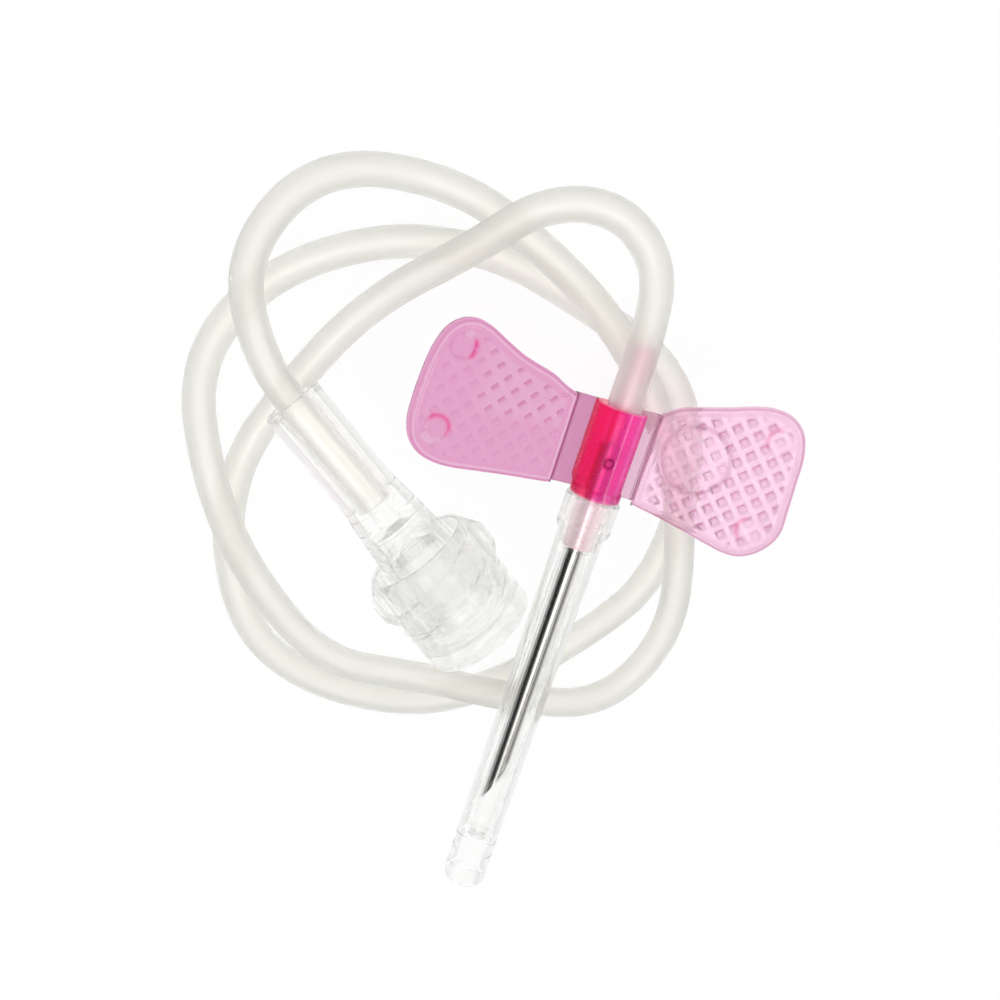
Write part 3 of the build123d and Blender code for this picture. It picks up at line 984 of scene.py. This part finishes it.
@dataclass
class Connector:
    """The clear luer connector: tube socket, flare with two fine ridges, and a tapered end with two lugs."""

    lug_reach: float = 0.62
    lug_start: float = 19.2
    lug_end: float = 20.45
    ridges: tuple[float, float] = (12.1, 14.1)
    ridge_height: float = 0.05
    ridge_width: float = 0.09
    profile: Rows = (
        (0.0, 1.40, 0.15), (0.0, 2.30, 0.20), (9.4, 2.36, 0.40), (9.9, 2.50, 0.25), (14.4, 2.93, 0.50),
        (15.2, 3.05, 0.30), (20.6, 3.05, 0.12), (20.6, 2.15, 0.08), (12.0, 1.892, 0.10), (11.6, 0.80, 0.05),
        (9.75, 0.80, 0.03), (9.75, 1.215, 0.05), (0.5, 1.215, 0.15),
    )

    def build(self) -> bpy.types.Object:
        """Makes the connector.

        A turned surface. Two lugs stand out above and below at its end, each a smooth
        window in angle times one in length. Two fine ridges run round the flare, each a
        bell curve along the axis.
        """
        angle = round_trip(160)
        profile = refined(rounded(self.profile), 0.10)
        along, radius = profile[:, :1], profile[:, 1:] * np.ones_like(angle)
        for place in self.ridges:
            radius = radius + self.ridge_height * bell(along, place, self.ridge_width) * (profile[:, 1:] > 2.3)
        outer = (profile[:, 1:] > 2.6) & (along > 17)
        upright = np.abs(np.abs(np.angle(np.exp(1j * (angle - np.pi / 2)))) - np.pi / 2)
        lug = window(along, self.lug_start, self.lug_end, 0.18) * ease(upright, np.pi / 2 - 0.50, np.pi / 2 - 0.38)
        radius = radius + self.lug_reach * lug * outer
        piece = make_piece("luer_body", [Surface(turned(along, radius, angle))], LUER_AXES, crease=34.0)
        return dress(piece, MOULDED_STYRENE.build(), "clear_plastic", "set", "luer_connector")


@dataclass
class LuerCap:
    """The clear luer cap: skirt with inner thread, plug, flat end and two ears at its mouth."""

    ear_reach: float = 0.70
    ear_start: float = 14.7
    ear_end: float = 19.1
    ear_turn: tuple[float, float] = (0.17, 0.30)
    lead: float = 5.0
    thread: float = 0.10
    profile: Rows = (
        (23.40, 0.0, 0.0), (23.40, 4.60, 0.45), (19.2, 4.65, 0.06), (19.1, 4.60, 0.06), (16.2, 4.58, 0.6),
        (14.9, 4.42, 0.30), (14.55, 4.10, 0.08), (14.7, 3.95, 0.08), (21.9, 3.95, 0.25), (21.9, 2.11, 0.15),
        (20.6, 2.11, 0.10), (14.7, 1.93, 0.20), (14.5, 1.70, 0.10), (14.5, 0.0, 0.0),
    )

    def build(self) -> bpy.types.Object:
        """Makes the cap.

        A turned surface. The ears are windows in angle and length that push the skirt's
        outside out, and two thread ridges wind round its inside, raised where the angle's
        half turn and the distance along agree.
        """
        angle = round_trip(240)
        profile = refined(rounded(self.profile, closed=False), 0.14, closed=False)
        along, start = profile[:, :1], profile[:, 1:]
        radius = start * np.ones_like(angle)
        sideways = np.abs(np.angle(np.exp(2j * angle))) / 2
        ear = (1 - ease(sideways, *self.ear_turn)) * ease(along, self.ear_start, self.ear_start + 1.7)
        ear = ear * (1 - ease(along, self.ear_end - 1.5, self.ear_end))
        radius = radius + self.ear_reach * ear * (start > 4.2)
        phase = along / (self.lead / 2) - angle / np.pi
        ridge = ease(np.cos(2 * np.pi * (phase - 0.3)), 0.35, 0.85) * window(along, 15.9, 21.2, 0.8)
        radius = radius - self.thread * ridge * ((start > 3.9) & (start < 4.0))
        surface = Surface(turned(along, radius, angle), wraps_rows=False)
        piece = make_piece("luer_cap_shell", [surface], LUER_AXES, crease=34.0)
        return dress(piece, MOULDED_STYRENE.build(), "clear_plastic", "luer_cap", "luer_cap")


@dataclass
class Studio:
    """White table, soft lamps, world and the camera at the photograph's angle."""

    table_z: float = -7.3
    table_glow: float = 0.88
    coil_at: tuple[float, float, float] = (-0.008, 0.02, 0.0)
    eye: tuple[float, float, float] = (-20.003, 47.206, 68.3)
    right: tuple[float, float, float] = (0.95325, 0.28700, 0.09462)
    up: tuple[float, float, float] = (-0.24023, 0.90964, -0.33888)
    ahead: tuple[float, float, float] = (0.18333, -0.30031, -0.93606)

    def seen(self, tree: bpy.types.NodeTree) -> bpy.types.NodeSocket:
        """One for rays from the eye, from gloss and through glass, and nought for the rest."""
        path = add(tree, "ShaderNodeLightPath")
        larger = {"operation": "MAXIMUM"}
        eye, gloss, glass = (path.outputs[f"Is {kind} Ray"] for kind in ("Camera", "Glossy", "Transmission"))
        first = add(tree, "ShaderNodeMath", larger, {0: eye, 1: gloss})
        return add(tree, "ShaderNodeMath", larger, {0: first.outputs[0], 1: glass}).outputs[0]

    def table(self) -> bpy.types.Object:
        """Makes the white table. Most of what the eye sees of it is its own light, so shadows stay faint."""
        mesh = bpy.data.meshes.new("table_top")
        half, z = 1.5, self.table_z * MM
        mesh.from_pydata([(-half, -half, z), (half, -half, z), (half, half, z), (-half, half, z)], [], [(0, 1, 2, 3)])
        top = placed("table_top", mesh)
        material, tree, output = new_material("white_table")
        matt = add(tree, "ShaderNodeBsdfDiffuse", {"Color": linear("#FAFAFA")})
        white = add(tree, "ShaderNodeEmission", {"Color": (1.0, 1.0, 1.0, 1.0), "Strength": 1.0})
        share = add(tree, "ShaderNodeMath", {"operation": "MULTIPLY", 1: self.table_glow}, {0: self.seen(tree)})
        mixed = add(tree, "ShaderNodeMixShader", {}, {0: share.outputs[0], 1: matt.outputs[0], 2: white.outputs[0]})
        tree.links.new(mixed.outputs[0], output.inputs["Surface"])
        mesh.materials.append(material)
        return top

    def world(self) -> None:
        """Makes the world: white to the eye, and a bright sky over a grey horizon to everything else."""
        world = bpy.data.worlds.new("studio")
        world.use_nodes = True
        tree = world.node_tree
        tree.nodes.clear()
        path = add(tree, "ShaderNodeLightPath")
        place = add(tree, "ShaderNodeTexCoord")
        split = add(tree, "ShaderNodeSeparateXYZ", {}, {0: place.outputs["Generated"]})
        sky = shaded(tree, ((0.0, "#BEBEBD"), (0.35, "#DDDDDC"), (0.85, "#F4F4F3")), split.outputs["Z"])
        around = add(tree, "ShaderNodeBackground", {"Strength": 0.95}, {"Color": sky})
        white = add(tree, "ShaderNodeBackground", {"Color": (1.0, 1.0, 1.0, 1.0), "Strength": 1.0})
        sources = {0: path.outputs["Is Camera Ray"], 1: around.outputs[0], 2: white.outputs[0]}
        mixed = add(tree, "ShaderNodeMixShader", {}, sources)
        output = add(tree, "ShaderNodeOutputWorld")
        tree.links.new(mixed.outputs[0], output.inputs["Surface"])
        bpy.context.scene.world = world

    def lamp(
        self, name: str, towards: tuple[float, float, float], away: float, size: tuple[float, float], power: float
    ) -> None:
        """Hangs one soft rectangular lamp that faces the coil.

        Args:
            name: Name of the lamp.
            towards: Direction from the coil to the lamp.
            away: Distance in metres.
            size: Width and height in metres.
            power: Power in watts.
        """
        data = bpy.data.lights.new(name, "AREA")
        data.shape, data.size, data.size_y, data.energy = "RECTANGLE", size[0], size[1], power
        lamp = placed(name, data)
        direction = Vector(towards).normalized()
        lamp.location = Vector(self.coil_at) + direction * away
        lamp.rotation_euler = direction.to_track_quat("Z", "Y").to_euler()

    def camera(self) -> None:
        """Sets the camera, with its focal length as long as the picture is wide."""
        data = bpy.data.cameras.new("camera")
        data.sensor_fit, data.sensor_width, data.lens = "HORIZONTAL", 36.0, 36.0
        data.clip_start, data.clip_end = 0.005, 10.0
        camera = placed("camera", data)
        axes = Matrix((self.right, self.up, tuple(-a for a in self.ahead))).transposed()
        camera.matrix_world = Matrix.Translation(Vector(self.eye) * MM) @ axes.to_4x4()
        bpy.context.scene.camera = camera

    def build(self) -> None:
        """Sets the stage."""
        self.table()
        self.world()
        self.lamp("key", (-0.114, -0.187, 0.976), 0.50, (0.20, 0.20), 0.60)
        self.lamp("strip", (0.62, 0.45, 0.64), 0.50, (0.06, 0.36), 0.20)
        self.camera()
        bpy.context.scene.view_settings.view_transform = "Standard"


LEFT_OUTLINE = [
    (0.25, 27.55), (0.25, 31.0), (0.25, 34.0), (0.45, 34.22), (1.4, 34.6), (2.6, 35.2), (3.9, 35.6), (5.3, 36.05),
    (6.8, 36.75), (8.2, 37.45), (9.4, 37.75), (10.5, 37.5), (11.4, 36.7), (12.0, 35.2), (12.3, 33.2), (12.42, 31.2),
    (12.35, 29.9), (11.95, 28.7), (11.1, 27.8), (9.9, 27.3), (8.4, 27.1), (6.2, 27.15), (3.8, 27.2), (1.6, 27.2),
    (0.5, 27.25),
]
RIGHT_OUTLINE = [
    (0.25, 27.35), (0.25, 31.0), (0.25, 34.1), (0.5, 34.5), (1.5, 35.25), (3.0, 35.8), (4.8, 36.4), (6.4, 37.0),
    (7.8, 37.3), (9.2, 37.1), (10.3, 36.2), (10.9, 34.6), (11.1, 32.6), (11.3, 30.4), (11.4, 28.9), (11.1, 27.8),
    (10.3, 26.7), (9.2, 26.0), (8.0, 25.85), (6.6, 26.05), (4.6, 26.45), (2.4, 26.85), (0.6, 27.1),
]
LEFT_RINGS = [
    Ring(9.95, 35.75, 0.92, 0.12, (140.0, 230.0), 1.0, (85.0, 120.0)),
    Ring(10.27, 29.77, 0.93, 0.14, (40.0, 205.0), 0.9, (235.0, 330.0)),
]
RIGHT_RINGS = [
    Ring(3.7, 31.9, 2.5, 0.10),
    Ring(8.95, 35.1, 0.95, 0.02, (100.0, 225.0), 0.45, (300.0, 330.0)),
    Ring(9.15, 28.2, 0.95, 0.02, (120.0, 240.0), 0.5, (300.0, 330.0)),
]


def main() -> None:
    """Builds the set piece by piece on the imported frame."""
    logging.basicConfig(level=logging.INFO, format="%(name)s: %(message)s")
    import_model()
    wing_finish, web_finish = TINTED_WING.build(), TINTED_WEB.build()
    Studio().build()
    connector = Connector().build()
    cap = LuerCap().build()
    Tubing().build([connector, cap])
    Cannula().build()
    Hub().build()
    left = Wing(Side.LEFT, LEFT_OUTLINE, LEFT_RINGS, (26.15, 21.01), (4.0, 2.8, 31.0, 32.2))
    left.build(wing_finish, web_finish)
    # The right wing carries a painted sheen, a lamp's reflection laid on as paler colour
    right = Wing(Side.RIGHT, RIGHT_OUTLINE, RIGHT_RINGS, (27.76, 20.77), (7.6, 3.6, 24.0, 25.0), painted_sheen=0.85)
    right.build(wing_finish, web_finish)
    NeedleSheath().build()


if __name__ == "__main__":
    main()
